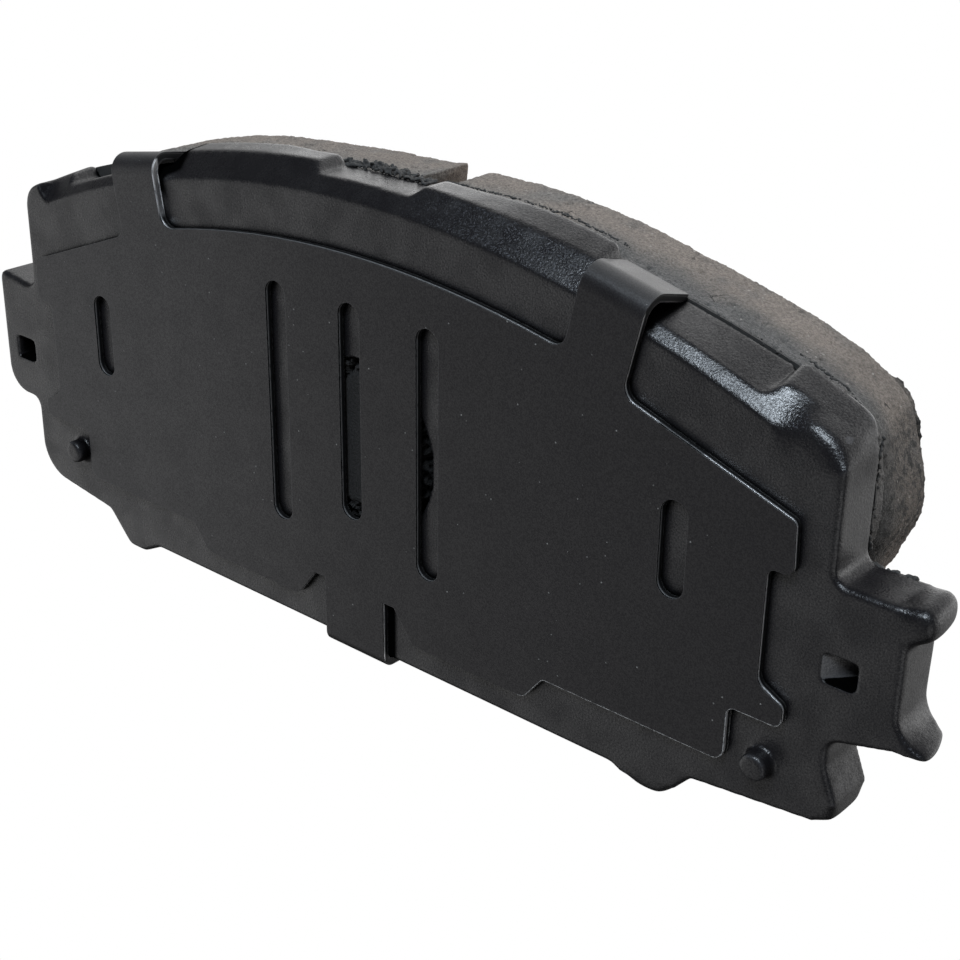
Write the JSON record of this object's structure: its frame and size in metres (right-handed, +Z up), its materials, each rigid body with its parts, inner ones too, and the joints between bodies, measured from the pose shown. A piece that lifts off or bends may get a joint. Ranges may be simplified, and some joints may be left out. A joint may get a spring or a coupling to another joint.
{
  "type": "disc brake pad",
  "caption": "Disc brake pad: stamped steel backing plate with ears and locating pegs, a grooved friction lining on the disc side and a clipped rubber-coated anti-squeal shim on the rear.",
  "frame": {"origin": "on the backing plate's rear face, half way along the pad, level with the top edge of its ears", "axes": "+X along the pad's length towards the forked ear, +Y out of the rear face towards the brake disc, +Z up, away from the axle"},
  "size_m": [0.1191, 0.0164, 0.0498],
  "materials": {
    "plate_paint": "satin black powder coat",
    "adhesive": "cured dark adhesive",
    "underlayer_compound": "moulded, rough",
    "friction_compound": "moulded friction compound, rough and granular",
    "shim_rubber": "matt rubber coating",
    "shim_steel": "bare cut edges"
  },
  "bodies": {
    "root": {"backing_plate": "plate_paint", "adhesive_film": "adhesive", "underlayer": "underlayer_compound", "friction_block_left": "friction_compound", "friction_block_right": "friction_compound", "shim_inner_coat": "shim_rubber", "shim_core": "shim_steel", "shim_outer_coat": "shim_rubber"}
  },
  "joints": []
}
